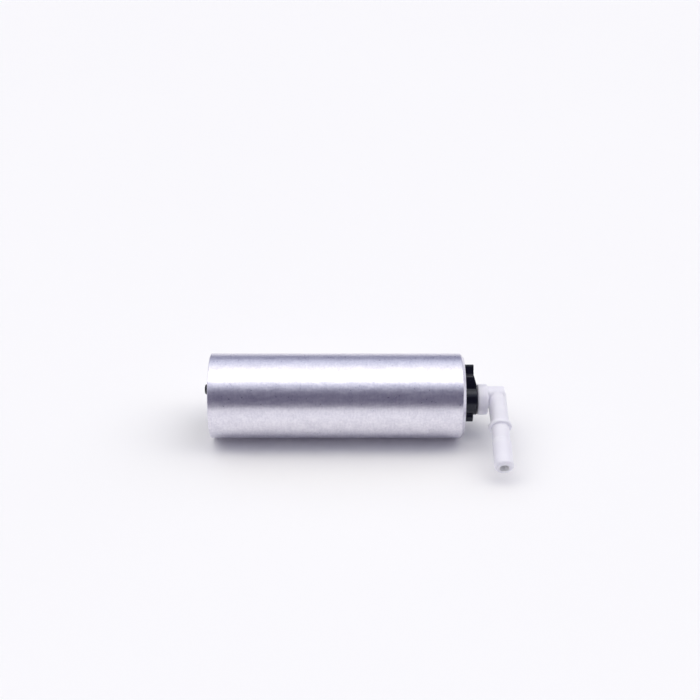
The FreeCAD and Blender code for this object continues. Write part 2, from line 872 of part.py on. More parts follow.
def make_outlet_head():
    """Moulded head with the outlet boss, the electrical socket and the valve bores."""
    face_x = can_right - head_face_recess
    body = end_plug(head_left, head_shoulder, face_x, slope_inner_length, slope_inner_drop)
    boss = rod(head_shoulder, boss_right, boss_radius, port_centre)
    boss = boss.makeFillet(boss_edge_radius, end_edges(boss, boss_right))
    turret = rod(head_shoulder, relief_turret_right, relief_turret_radius, relief_centre)
    shroud = rounded_column(
        head_shoulder, connector_right, connector_radial, connector_width, connector_corner,
        connector_centre_radius,
    )
    recess = rounded_column(
        connector_right - connector_depth, connector_right + overrun,
        connector_radial - 2 * connector_wall, connector_width - 2 * connector_wall,
        connector_corner - connector_wall / 2, connector_centre_radius,
    )
    gallery = rod(head_left - overrun, seat_left, stack_radius - gallery_wall)
    seat_hole = rod(seat_left - overrun, seat_right, seat_radius + press_gap, port_centre)
    chamber = rod(seat_right - overrun, guide_left + overrun, seat_radius - seat_gap, port_centre)
    bead_half = snap_bead_width / 2
    groove_radius = port_radius + snap_bead_height + running_fit
    port = lathe([
        (guide_left, 0),
        (guide_left, port_radius),
        (bead_x - bead_half - slip_fit - snap_bead_height, port_radius),
        (bead_x - bead_half - slip_fit, groove_radius),
        (bead_x + bead_half + slip_fit, groove_radius),
        (bead_x + bead_half + slip_fit + snap_bead_height, port_radius),
        (boss_right + overrun, port_radius),
        (boss_right + overrun, 0),
    ], port_centre)
    relief_hole = rod(seat_left - overrun, relief_seat_x + overrun, relief_hole_radius, relief_centre)
    relief_bore = rod(relief_seat_x, boss_right + overrun, relief_bore_radius, relief_centre)
    groove_half = head_seal_wire + slip_fit
    groove = tube(
        head_seal_x - groove_half, head_seal_x + groove_half,
        can_radius, can_bore_radius - 2 * head_seal_wire - 2 * press_gap,
    )
    cuts = [recess, gallery, seat_hole, chamber, port, relief_hole, relief_bore, groove]
    pocket_inner = port_offset + boss_radius + face_rib_width
    web_angle = half_angle((web_width + face_rib_width) / 2, pocket_inner)
    turret_angle = half_angle(relief_turret_radius + face_rib_width / 2, relief_offset)
    behind_web = connector_angle + web_angle
    before_turret = connector_angle + 180 - turret_angle
    past_turret = connector_angle + 180 + turret_angle
    before_web = connector_angle + 360 - web_angle
    for first, last in ((behind_web, before_turret), (past_turret, before_web)):
        cuts += face_pockets(
            face_x - face_pocket_depth, face_x + overrun, pocket_inner, first, last, outlet_pocket_count
        )
    blade_exit = connector_right - connector_depth + overrun
    for side in (-1, 1):
        cuts.append(blade_block(head_left, blade_exit, side, press_gap))
    return cut_all(fuse_all([body, boss, turret, shroud, socket_web()]), cuts)


def make_head_seal():
    """O-ring between the head and the can."""
    ring_radius = can_bore_radius - head_seal_wire - press_gap / 2
    return ring_seal(head_seal_x, ring_radius, head_seal_wire)


def make_valve_seat():
    """Pressed brass seat of the check valve, with a conical edge."""
    return lathe([
        (seat_left, seat_hole_radius),
        (seat_left, seat_radius),
        (seat_right, seat_radius),
        (seat_right, seat_hole_radius + seat_chamfer),
        (seat_right - seat_chamfer, seat_hole_radius),
    ], port_centre)


def make_check_poppet():
    """Mushroom valve: a cone on the seat and a stem in the guide."""
    stem_end = guide_right - stem_setback
    return lathe([
        (poppet_left, 0),
        (poppet_left, seat_hole_radius - seat_gap / 2),
        (poppet_cone_top, poppet_radius - seat_gap / 2),
        (poppet_back, poppet_radius - seat_gap / 2),
        (poppet_back, stem_radius),
        (stem_end, stem_radius),
        (stem_end, 0),
    ], port_centre)


def make_check_spring():
    """Spring that shuts the check valve."""
    length = check_spring_room - 2 * seat_gap
    base = FreeCAD.Vector(poppet_back + seat_gap, port_centre.y, port_centre.z)
    return coil(check_spring_radius, check_spring_wire, length, check_spring_turns, base)


def make_valve_guide():
    """Spider that guides the stem and carries the spring."""
    outer = port_radius - press_gap
    rim = tube(guide_left, guide_right, outer, outer - guide_rim, port_centre)
    pieces = [rim, rod(guide_left, guide_right, guide_hub_radius, port_centre)]
    for index in range(guide_arm_count):
        angle = index * 360 / guide_arm_count
        arm = radial_block(guide_left, guide_right, 0, outer - guide_rim / 2, guide_arm_width, angle)
        arm.translate(port_centre)
        pieces.append(arm)
    stem_hole = rod(guide_left - overrun, guide_right + overrun, stem_radius + running_fit, port_centre)
    return fuse_all(pieces).cut(stem_hole)


def relief_ball_x():
    """Where the ball's centre is when it rests on the edge of its hole."""
    return relief_seat_x + math.sqrt(relief_ball_radius ** 2 - relief_hole_radius ** 2) + seat_gap


def make_relief_ball():
    """Steel ball that shuts the relief hole."""
    centre = FreeCAD.Vector(relief_ball_x(), relief_centre.y, relief_centre.z)
    return Part.makeSphere(relief_ball_radius, centre)


def make_relief_spring():
    """Spring between the ball and the plug."""
    reach = math.sqrt(relief_ball_radius ** 2 - (relief_spring_radius - relief_spring_wire / 2) ** 2)
    left = relief_ball_x() + reach + seat_gap
    length = relief_plug_left - left - seat_gap
    base = FreeCAD.Vector(left, relief_centre.y, relief_centre.z)
    return coil(relief_spring_radius, relief_spring_wire, length, relief_spring_turns, base)


def make_relief_plug():
    """Brass plug with a vent hole, pressed into the turret."""
    outer = relief_bore_radius - press_gap
    return tube(relief_plug_left, relief_plug_right, outer, relief_plug_hole_radius, relief_centre)


def make_elbow():
    """White elbow: tail, hub, run with a flat top and leg in one moulding with its passage."""
    seal_x = tail_left + elbow_seal_setback
    groove_half = elbow_seal_wire + slip_fit
    groove_floor = port_radius - 2 * elbow_seal_wire - 2 * press_gap
    bead_half = snap_bead_width / 2
    bead_radius = tail_radius + snap_bead_height
    tail_and_hub = lathe([
        (tail_left, 0),
        (tail_left, tail_radius),
        (seal_x - groove_half, tail_radius),
        (seal_x - groove_half, groove_floor),
        (seal_x + groove_half, groove_floor),
        (seal_x + groove_half, tail_radius),
        (bead_x - bead_half - snap_bead_height, tail_radius),
        (bead_x - bead_half, bead_radius),
        (bead_x + bead_half, bead_radius),
        (bead_x + bead_half + snap_bead_height, tail_radius),
        (hub_left, tail_radius),
        (hub_left, hub_radius - hub_edge),
        (hub_left + hub_edge, hub_radius),
        (hub_right - hub_edge, hub_radius),
        (hub_right, hub_radius - hub_edge),
        (hub_right, 0),
    ], port_centre)
    run_end = leg_x + run_end_reach
    run = lathe([
        (hub_right - hub_edge, 0),
        (hub_right - hub_edge, run_radius),
        (run_end - hub_edge, run_radius),
        (run_end, run_radius - hub_edge),
        (run_end, 0),
    ])
    flat_start = FreeCAD.Vector(hub_right, -run_radius, run_flat_height)
    top_flat = Part.makeBox(run_end - hub_right, 2 * run_radius, run_radius, flat_start)
    collar_end = collar_start + collar_thickness
    neck_end = collar_end + neck_length
    tip = neck_end + spigot_length
    step = spigot_radius - neck_radius
    leg = lathe([
        (-leg_back_reach, 0),
        (-leg_back_reach, leg_root_radius),
        (collar_start, leg_end_radius),
        (collar_start, collar_radius - collar_edge),
        (collar_start + collar_edge, collar_radius),
        (collar_end - collar_edge, collar_radius),
        (collar_end, collar_radius - collar_edge),
        (collar_end, neck_radius),
        (neck_end - step, neck_radius),
        (neck_end, spigot_radius),
        (tip - spigot_nose, spigot_radius),
        (tip, spigot_radius - spigot_nose),
        (tip, 0),
    ], FreeCAD.Vector(leg_x, 0, 0), on_circle(1, leg_angle))
    leg_bore = Part.makeCylinder(
        elbow_bore_radius, tip + overrun, FreeCAD.Vector(leg_x, 0, 0), on_circle(1, leg_angle)
    )
    tail_bore = rod(tail_left - overrun, hub_right - hub_floor, tail_radius - tail_wall, port_centre)
    run_bore = rod(hub_left, leg_x + elbow_bore_radius, elbow_bore_radius)
    return cut_all(fuse_all([tail_and_hub, run, leg]), [top_flat, leg_bore, tail_bore, run_bore])


def make_elbow_seal():
    """O-ring on the elbow's tail."""
    ring_radius = port_radius - elbow_seal_wire - press_gap / 2
    return ring_seal(tail_left + elbow_seal_setback, ring_radius, elbow_seal_wire, port_centre)


nodes = {
    "can": make_can(),
    "inlet_cover": make_inlet_cover(),
    "chamber_ring": make_chamber_ring(),
    "outer_gear": make_outer_gear(),
    "inner_gear": make_inner_gear(),
    "drive_coupling": make_drive_coupling(),
    "port_plate": make_port_plate(),
    "front_bush": make_front_bush(),
    "shaft": make_shaft(),
    "flux_ring": make_flux_ring(),
    "upper_magnet": make_magnet(90),
    "lower_magnet": make_magnet(270),
    "magnet_clips": make_magnet_clips(),
    "armature_core": slotted_disc(core_left, core_right),
    "core_insulators": make_core_insulators(),
    "windings": make_windings(),
    "commutator_hub": make_commutator_hub(),
    "commutator_bars": make_commutator_bars(),
    "thrust_washers": make_thrust_washers(),
    "brush_plate": make_brush_plate(),
    "rear_bush": make_rear_bush(),
    "brush_guides": make_brush_guides(),
    "spring_caps": make_spring_caps(),
    "rear_brush": make_brush(0),
    "front_brush": make_brush(180),
    "rear_brush_spring": make_brush_spring(0),
    "front_brush_spring": make_brush_spring(180),
    "choke_cores": make_choke_cores(),
    "choke_windings": make_choke_windings(),
    "positive_terminal": make_terminal(1),
    "negative_terminal": make_terminal(-1),
    "outlet_head": make_outlet_head(),
    "head_seal": make_head_seal(),
    "valve_seat": make_valve_seat(),
    "check_poppet": make_check_poppet(),
    "check_spring": make_check_spring(),
    "valve_guide": make_valve_guide(),
    "relief_ball": make_relief_ball(),
    "relief_spring": make_relief_spring(),
    "relief_plug": make_relief_plug(),
    "elbow": make_elbow(),
    "elbow_seal": make_elbow_seal(),
}

os.makedirs("parts", exist_ok=True)
for name, shape in nodes.items():
    shape.exportStep("parts/" + name + ".step")
    print(name, len(shape.Solids), "solids", round(shape.Volume, 2), "mm3", shape.isValid())
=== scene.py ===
import json
import math

import bpy
import mathutils
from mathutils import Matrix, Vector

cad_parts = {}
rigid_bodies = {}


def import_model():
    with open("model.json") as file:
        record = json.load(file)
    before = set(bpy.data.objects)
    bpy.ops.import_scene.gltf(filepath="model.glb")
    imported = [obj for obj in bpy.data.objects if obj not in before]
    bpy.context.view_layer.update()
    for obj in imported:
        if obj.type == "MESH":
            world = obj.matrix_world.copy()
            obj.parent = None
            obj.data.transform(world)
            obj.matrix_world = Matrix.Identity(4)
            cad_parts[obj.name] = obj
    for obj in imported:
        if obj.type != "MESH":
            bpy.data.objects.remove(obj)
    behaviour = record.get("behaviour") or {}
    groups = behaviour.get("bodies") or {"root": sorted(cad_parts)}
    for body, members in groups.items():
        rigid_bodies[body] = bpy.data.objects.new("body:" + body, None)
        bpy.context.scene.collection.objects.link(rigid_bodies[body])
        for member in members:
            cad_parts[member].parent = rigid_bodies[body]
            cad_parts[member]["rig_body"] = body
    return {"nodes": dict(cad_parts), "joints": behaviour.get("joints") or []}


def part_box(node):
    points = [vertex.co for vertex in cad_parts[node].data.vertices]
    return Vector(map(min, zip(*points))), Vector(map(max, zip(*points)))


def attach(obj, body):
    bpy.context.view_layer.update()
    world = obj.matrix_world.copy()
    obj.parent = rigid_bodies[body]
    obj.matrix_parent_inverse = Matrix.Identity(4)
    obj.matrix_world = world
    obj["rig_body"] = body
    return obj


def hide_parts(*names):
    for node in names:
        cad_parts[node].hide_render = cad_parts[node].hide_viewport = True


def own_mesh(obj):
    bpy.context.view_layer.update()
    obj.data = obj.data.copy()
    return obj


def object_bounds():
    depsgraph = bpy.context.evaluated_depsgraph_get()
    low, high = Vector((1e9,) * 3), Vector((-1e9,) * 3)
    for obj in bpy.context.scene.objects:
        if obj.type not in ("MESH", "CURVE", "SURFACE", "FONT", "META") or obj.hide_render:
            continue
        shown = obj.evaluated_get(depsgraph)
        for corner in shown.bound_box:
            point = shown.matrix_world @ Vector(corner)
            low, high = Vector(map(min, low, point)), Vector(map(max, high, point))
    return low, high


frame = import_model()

cad_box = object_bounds()


# Inlet cover: glass-filled black plastic, moulded with its inlet bore and the peg for the strainer.
# It closes the pump end, and the can's rolled lip holds it down on the stack of parts behind it.
# Its mould was spark eroded, so the faces are finely pitted and every edge is a little rounded.
class Shade:
    """An output in a material's node tree. Arithmetic on it adds Math nodes."""

    def __init__(self, tree, socket=None):
        self.tree = tree
        self.socket = socket

    def node(self, kind, settings, feeds, output=0):
        """Adds any node: its settings are set first, then the value or link of each socket."""
        made = self.tree.nodes.new(kind)
        for setting, value in settings.items():
            setattr(made, setting, value)
        for socket, value in feeds.items():
            if isinstance(value, Shade):
                self.tree.links.new(value.socket, made.inputs[socket])
            else:
                made.inputs[socket].default_value = value
        return Shade(self.tree, made.outputs[output])

    def math_node(self, operation, first, second):
        """A Math node's result. Operations on one number ignore the second."""
        return self.node("ShaderNodeMath", {"operation": operation}, {0: first, 1: second})

    def __add__(self, other):
        return self.math_node("ADD", self, other)

    __radd__ = __add__

    def __sub__(self, other):
        return self.math_node("SUBTRACT", self, other)

    def __rsub__(self, other):
        return self.math_node("SUBTRACT", other, self)

    def __mul__(self, other):
        return self.math_node("MULTIPLY", self, other)

    __rmul__ = __mul__


def new_finish(name):
    """A material and the place on the piece in metres, from which its patterns start."""
    material = bpy.data.materials.new(name)
    material.use_nodes = True
    tree = material.node_tree
    return material, Shade(tree).node("ShaderNodeTexCoord", {}, {}, "Object")


def grain(place, per_metre, detail=3.0, stretch=(1.0, 1.0, 1.0)):
    """Noise from 0 to 1 about a half: grains per metre, times the stretch along each axis."""
    spread = place.node("ShaderNodeVectorMath", {"operation": "MULTIPLY"}, {0: place, 1: stretch})
    feeds = {"Vector": spread, "Scale": per_metre, "Detail": detail}
    return place.node("ShaderNodeTexNoise", {}, feeds)


def step_of(value, low, high):
    """0 below low, 1 above high, and smooth between them."""
    feeds = {"Value": value, "From Min": low, "From Max": high}
    return value.node("ShaderNodeMapRange", {"interpolation_type": "SMOOTHSTEP"}, feeds)


def blend_of(first, second, share):
    """One colour turning into another. Inputs 6 and 7 and output 2 are the node's colours."""
    return share.node("ShaderNodeMix", {"data_type": "RGBA"}, {0: share, 6: first, 7: second}, 2)


def set_shader(material, colour, roughness, height, depth, metallic=0.0, **uniform):
    """Feeds the shader: a varying colour, roughness and height, and uniform values for the rest."""
    tree = material.node_tree
    shader = tree.nodes["Principled BSDF"]
    bump = height.node("ShaderNodeBump", {}, {"Height": height, "Distance": depth, "Strength": 1.0})
    tree.links.new(colour.socket, shader.inputs["Base Color"])
    tree.links.new(roughness.socket, shader.inputs["Roughness"])
    tree.links.new(bump.socket, shader.inputs["Normal"])
    shader.inputs["Metallic"].default_value = metallic
    for name, value in uniform.items():
        shader.inputs[name.replace("_", " ")].default_value = value
    return material


def moulded(name, colour, paler, roughness, pit_depth, **uniform):
    """Moulded plastic: cloudy flow marks, a pitted skin and patches rubbed smoother."""
    material, place = new_finish(name)
    flow = grain(place, per_metre=160.0, detail=4.0, stretch=(0.5, 1.0, 1.0))
    pits = grain(place, per_metre=9000.0, detail=2.0)
    rubbed = step_of(grain(place, per_metre=350.0), low=0.45, high=0.62)
    cloud = step_of(flow + 0.25 * pits, low=0.45, high=0.85)
    shade = blend_of((*colour, 1.0), (*paler, 1.0), cloud)
    gloss = roughness - 0.07 * rubbed + 0.10 * (pits - 0.5)
    height = pits + 6.0 * grain(place, per_metre=220.0)
    return set_shader(material, shade, gloss, height, depth=pit_depth, **uniform)


def give(finish, *nodes):
    """Puts one finish on CAD nodes whose shape stays as it is."""
    for node in nodes:
        materials = frame["nodes"][node].data.materials
        materials.clear()
        materials.append(finish)


def soft_edged(node, name, finish, voxel, rounds, kept_share):
    """Copy of a node with its sharp edges rounded as they leave the mould, which takes its place."""
    source = frame["nodes"][node]
    draft = bpy.data.objects.new(name + "_draft", source.data.copy())
    bpy.context.scene.collection.objects.link(draft)
    remesh = draft.modifiers.new("skin", "REMESH")
    remesh.mode = "VOXEL"
    remesh.voxel_size = voxel
    smooth = draft.modifiers.new("edges", "SMOOTH")
    smooth.factor = 0.5
    smooth.iterations = rounds
    fewer = draft.modifiers.new("fewer faces", "DECIMATE")
    fewer.ratio = kept_share
    shape = draft.evaluated_get(bpy.context.evaluated_depsgraph_get())
    mesh = bpy.data.meshes.new_from_object(shape)
    bpy.data.objects.remove(draft)
    mesh.name = name
    mesh.materials.clear()
    mesh.materials.append(finish)
    mesh.polygons.foreach_set("use_smooth", [True] * len(mesh.polygons))
    piece = bpy.data.objects.new(name, mesh)
    bpy.context.scene.collection.objects.link(piece)
    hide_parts(node)
    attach(piece, source["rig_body"])
    return piece


black_plastic = moulded(
    "black moulded plastic", (0.0024, 0.0026, 0.0080), (0.0060, 0.0064, 0.0150),
    roughness=0.25, pit_depth=0.000003, Specular_IOR_Level=0.42, Specular_Tint=(0.84, 0.87, 1.0, 1.0),
)
cover_moulding = soft_edged(
    "inlet_cover", "inlet_cover_moulding", black_plastic, voxel=0.00016, rounds=8, kept_share=0.25
)


# Gear chamber: a ground steel ring with an off-centre bore, clamped between cover and port plate.
# The ring gear floats in its bore and the inner gear turns inside that, both sintered from iron
# powder, which leaves fine open pores in faces that are then lapped bright.
def coordinate(place, axis):
    """One number of a place: axis 0 runs along the pump, 1 across it and 2 upwards."""
    return place.node("ShaderNodeSeparateXYZ", {}, {0: place}, axis)


def reach_of(place):
    """Distance from the pump's axis."""
    across = coordinate(place, 1)
    upright = coordinate(place, 2)
    return place.math_node("POWER", across * across + upright * upright, 0.5)


def about_axis(place):
    """Distance along the pump, distance from its axis and angle about it, as one vector."""
    turn = place.math_node("ARCTAN2", coordinate(place, 2), coordinate(place, 1))
    feeds = {0: coordinate(place, 0), 1: reach_of(place), 2: turn}
    return place.node("ShaderNodeCombineXYZ", {}, feeds)


def turned(name, colour, paler, roughness, line_depth, stains=0.0):
    """Metal turned or ground about the pump's axis: fine rings, stains and brighter rubbed spots."""
    material, place = new_finish(name)
    rings = grain(about_axis(place), per_metre=1.0, detail=2.0, stretch=(9000.0, 9000.0, 1.5))
    stain = step_of(grain(place, per_metre=260.0, detail=5.0), low=0.50, high=0.72)
    worn = step_of(rings + 0.3 * grain(place, per_metre=900.0), low=0.35, high=0.95)
    shade = blend_of((*colour, 1.0), (*paler, 1.0), worn)
    gloss = roughness + 0.10 * (rings - 0.5) + stains * stain
    height = rings + 2.0 * grain(place, per_metre=500.0)
    return set_shader(material, shade, gloss, height, depth=line_depth, metallic=1.0)


def sintered(name, colour, paler, roughness):
    """Pressed and fired powder: open pores in a lapped face, painted dark as the shade inside them."""
    material, place = new_finish(name)
    pores = step_of(grain(place, per_metre=7000.0), low=0.56, high=0.66)
    cloud = grain(place, per_metre=400.0, detail=4.0)
    # Painted shade: the pores darken the colour, as shade inside the holes. The cloud is tone that varies at
    # random.
    shade = blend_of((*paler, 1.0), (*colour, 1.0), step_of(cloud + 0.5 * pores, low=0.35, high=1.0))
    gloss = roughness + 0.25 * pores
    return set_shader(material, shade, gloss, cloud - 0.6 * pores, depth=0.000006, metallic=1.0)


ground_steel = turned(
    "ground steel", (0.46, 0.46, 0.48), (0.60, 0.60, 0.62), roughness=0.26, line_depth=0.0000008, stains=0.10
)
sintered_iron = sintered("sintered iron", (0.20, 0.20, 0.21), (0.38, 0.38, 0.40), roughness=0.38)
give(ground_steel, "chamber_ring")
give(sintered_iron, "outer_gear", "inner_gear")


# Drive coupling: a disc moulded in natural acetal, driven by the flat on the shaft.
# Its three fingers reach into holes of the inner gear and leave the gear free to centre itself.
natural_plastic = moulded(
    "natural acetal", (0.70, 0.66, 0.56), (0.78, 0.75, 0.66),
    roughness=0.42, pit_depth=0.000002, Specular_IOR_Level=0.5,
)
give(natural_plastic, "drive_coupling")


# Port plate: ground steel with the kidney-shaped pressure port, and the front bush pressed into it.
# The bush is moulded carbon, which runs wet in fuel.
def carbon_block(name):
    """Pressed carbon: near black, with a graphite sheen and small grey grains."""
    material, place = new_finish(name)
    grains = grain(place, per_metre=6000.0)
    bright = step_of(grains, low=0.52, high=0.72)
    rubbed = step_of(grain(place, per_metre=300.0), low=0.5, high=0.7)
    shade = blend_of((0.022, 0.022, 0.024, 1.0), (0.085, 0.085, 0.09, 1.0), bright)
    return set_shader(material, shade, 0.46 - 0.12 * rubbed, grains, depth=0.000006)


give(ground_steel, "port_plate")
carbon = carbon_block("pressed carbon")
give(carbon, "front_bush")


# Shaft: hardened steel, ground bright between centres, with a milled flat at the pump end.
# It carries the armature and turns in the two carbon bushes.
shaft_steel = turned(
    "bright shaft steel", (0.58, 0.58, 0.60), (0.72, 0.72, 0.74), roughness=0.16, line_depth=0.0000005
)
give(shaft_steel, "shaft")


# Field: a rolled steel ring, plated yellow-grey, that spaces the stack and closes the magnets' field.
# Two ferrite shells are held against it by a pair of spring steel channels pushed in between them.
def plated(name, colour, paler, roughness):
    """Zinc plate: a patchwork of faintly tinted, soft-edged grains."""
    material, place = new_finish(name)
    patch = place.node("ShaderNodeTexVoronoi", {}, {"Vector": place, "Scale": 420.0}, "Color")
    patch_value = place.node("ShaderNodeSeparateColor", {}, {0: patch}, 0)
    haze = grain(place, per_metre=240.0, detail=5.0)
    cloud = step_of(0.6 * patch_value + 0.5 * haze, low=0.2, high=0.9)
    shade = blend_of((*colour, 1.0), (*paler, 1.0), cloud)
    gloss = roughness + 0.14 * (patch_value - 0.5)
    return set_shader(material, shade, gloss, haze, depth=0.00002, metallic=1.0)


def fired_ferrite(name):
    """Hard ferrite: dark grey ceramic with chips and grinding dust on it."""
    material, place = new_finish(name)
    dust = step_of(grain(place, per_metre=900.0, detail=6.0), low=0.55, high=0.78)
    chips = grain(place, per_metre=5000.0, detail=4.0)
    shade = blend_of((0.045, 0.045, 0.05, 1.0), (0.14, 0.135, 0.135, 1.0), dust)
    return set_shader(material, shade, 0.52 + 0.2 * dust, chips, depth=0.00001)


def drawn_wire(name, colour, paler, roughness):
    """Drawn metal: a fine grain from the die and small tarnished patches."""
    material, place = new_finish(name)
    tarnish = step_of(grain(place, per_metre=800.0, detail=4.0), low=0.45, high=0.75)
    die_grain = grain(place, per_metre=6000.0, detail=2.0)
    shade = blend_of((*paler, 1.0), (*colour, 1.0), tarnish)
    gloss = roughness + 0.12 * tarnish
    return set_shader(material, shade, gloss, die_grain, depth=0.000002, metallic=1.0)


give(plated("zinc plate", (0.52, 0.50, 0.42), (0.68, 0.68, 0.64), roughness=0.34), "flux_ring")
ferrite = fired_ferrite("fired ferrite")
give(ferrite, "upper_magnet", "lower_magnet")
spring_steel = drawn_wire("spring steel", (0.34, 0.33, 0.33), (0.56, 0.56, 0.58), roughness=0.28)
give(spring_steel, "magnet_clips")


# Armature: a stack of stamped steel sheets pressed on the shaft, a fibre disc at each end and
# enamelled copper wire wound through the slots. The coils are dipped in clear varnish.
def stamped_stack(name, sheet):
    """Laminations seen from the edge: one line for each sheet, with heat tints here and there."""
    material, place = new_finish(name)
    wave = place.math_node("SINE", coordinate(place, 0) * (2 * math.pi / sheet), 0.0)
    seam = step_of(wave, low=0.80, high=0.98)
    tint = step_of(grain(place, per_metre=300.0, detail=4.0), low=0.45, high=0.75)
    sheets = blend_of((0.42, 0.42, 0.44, 1.0), (0.30, 0.28, 0.30, 1.0), tint)
    shade = blend_of(sheets, (0.06, 0.06, 0.065, 1.0), seam)
    gloss = 0.36 + 0.2 * seam + 0.1 * tint
    return set_shader(material, shade, gloss, 1.0 - seam, depth=0.00003, metallic=1.0)


def wound_copper(name, wire):
    """Enamelled wire lying side by side about the pump's axis. The grooves between the turns are painted
    dark as shade, and made rougher.
    """
    material, place = new_finish(name)
    along = coordinate(place, 0)
    reach = reach_of(place)
    wander = 0.0006 * grain(place, per_metre=700.0, detail=2.0)
    wave = place.math_node("SINE", (reach + along + wander) * (2 * math.pi / wire), 0.0)
    # Painted shade: the grooves between the round wires are coloured dark brown, as shade falls there.
    shaded_groove = 1.0 - step_of(wave, low=-0.9, high=0.2)
    shade = blend_of((0.62, 0.25, 0.10, 1.0), (0.14, 0.045, 0.02, 1.0), shaded_groove)
    gloss = 0.24 + 0.2 * shaded_groove
    return set_shader(material, shade, gloss, wave, depth=0.00006, metallic=0.85, Coat_Weight=0.4)


def fibre_disc(name, colour, paler):
    """Vulcanised fibre or phenolic: mottled, dull and slightly hairy."""
    material, place = new_finish(name)
    fibres = grain(place, per_metre=2500.0, detail=4.0, stretch=(0.3, 1.0, 1.0))
    shade = blend_of((*colour, 1.0), (*paler, 1.0), step_of(fibres, low=0.35, high=0.7))
    return set_shader(material, shade, 0.55 + 0.15 * fibres, fibres, depth=0.00001)


give(stamped_stack("stamped sheet stack", sheet=0.0005), "armature_core")
give(fibre_disc("red-brown fibre", (0.20, 0.055, 0.03), (0.30, 0.10, 0.055)), "core_insulators")
give(wound_copper("varnished winding", wire=0.00035), "windings")


# Commutator: eight copper bars on a moulded sleeve, turned true after moulding.
# Each bar has a riser at the winding end. The thrust washers beside the bushes are nylon.
give(fibre_disc("dark phenolic", (0.055, 0.032, 0.022), (0.10, 0.06, 0.04)), "commutator_hub")
bar_copper = turned(
    "turned copper", (0.60, 0.27, 0.13), (0.80, 0.42, 0.26), roughness=0.24, line_depth=0.000001, stains=0.2
)
give(bar_copper, "commutator_bars")
give(natural_plastic, "thrust_washers")


# Brush plate: black plastic with a skirt that stands on the flux ring, and the rear carbon bush.
# The plate carries two drawn brass guides with bent brass caps, the carbon brushes and their springs.
def squeezed_spring(node, joint_name, towards_seat):
    """Copy of a spring, which takes its place. How far it would close up, one less its joint's travel over
    its length, is worked out but not used.
    """
    source = frame["nodes"][node]
    piece = bpy.data.objects.new(node + "_coil", source.data.copy())
    piece.data.name = node + "_coil"
    piece.data.materials.clear()
    piece.data.materials.append(spring_steel)
    bpy.context.scene.collection.objects.link(piece)
    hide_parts(node)
    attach(piece, source["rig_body"])
    low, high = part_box(node)
    length = abs((high - low).dot(towards_seat))
    travel = next(joint["range_m"][1] for joint in frame["joints"] if joint["name"] == joint_name)
    1.0 - travel / length
    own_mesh(piece)


to_front = mathutils.Vector((0.0, -1.0, 0.0))
to_rear = mathutils.Vector((0.0, 1.0, 0.0))
stamped_brass = drawn_wire("stamped brass", (0.52, 0.38, 0.14), (0.78, 0.62, 0.30), roughness=0.28)
give(black_plastic, "brush_plate")
give(carbon, "rear_bush", "rear_brush", "front_brush")
give(stamped_brass, "brush_guides", "spring_caps")
squeezed_spring("rear_brush_spring", "rear_brush_slide", towards_seat=to_rear)
squeezed_spring("front_brush_spring", "front_brush_slide", towards_seat=to_front)


# Chokes: a ferrite rod wound with enamelled copper in each supply lead, to keep the radio quiet.
# The blades rise from them through the head into the electrical socket. They are tinned brass.
tinned_brass = drawn_wire("tinned brass", (0.50, 0.49, 0.46), (0.74, 0.73, 0.70), roughness=0.30)
give(ferrite, "choke_cores")
give(wound_copper("choke winding", wire=0.00045), "choke_windings")
give(tinned_brass, "positive_terminal", "negative_terminal")


# Outlet head: black glass-filled plastic with the outlet boss, the socket and the relief turret.
# The can's other lip holds it, and a rubber ring under its skirt keeps the pressure in.
def moulded_rubber(name):
    """Black rubber: dull, with a faint bloom."""
    material, place = new_finish(name)
    bloom = step_of(grain(place, per_metre=600.0, detail=4.0), low=0.45, high=0.75)
    skin = grain(place, per_metre=4000.0)
    shade = blend_of((0.014, 0.014, 0.015, 1.0), (0.05, 0.05, 0.052, 1.0), bloom)
    return set_shader(material, shade, 0.62 + 0.15 * bloom, skin, depth=0.000004)


rubber = moulded_rubber("seal rubber")
head_moulding = soft_edged(
    "outlet_head", "outlet_head_moulding", black_plastic, voxel=0.00016, rounds=8, kept_share=0.25
)
give(rubber, "head_seal")


# Check valve: a turned brass seat pressed into the outlet, a plastic mushroom that shuts on it,
# a spring behind the mushroom and a three-armed guide for its stem. It holds pressure in the line.
to_outlet = mathutils.Vector((1.0, 0.0, 0.0))
turned_brass = turned(
    "turned brass", (0.60, 0.45, 0.18), (0.82, 0.67, 0.34), roughness=0.20, line_depth=0.000001, stains=0.12
)
give(turned_brass, "valve_seat")
give(natural_plastic, "check_poppet", "valve_guide")
squeezed_spring("check_spring", "check_valve_slide", towards_seat=to_outlet)


# Relief valve: a steel ball held on its hole by a spring, under a brass plug pressed into the turret.
# The hole through the plug lets fuel back into the tank when the line is blocked.
ball_steel = turned(
    "polished ball", (0.62, 0.62, 0.64), (0.74, 0.74, 0.76), roughness=0.08, line_depth=0.0000002
)
give(ball_steel, "relief_ball")
squeezed_spring("relief_spring", "relief_valve_slide", towards_seat=to_outlet)
give(turned_brass, "relief_plug")


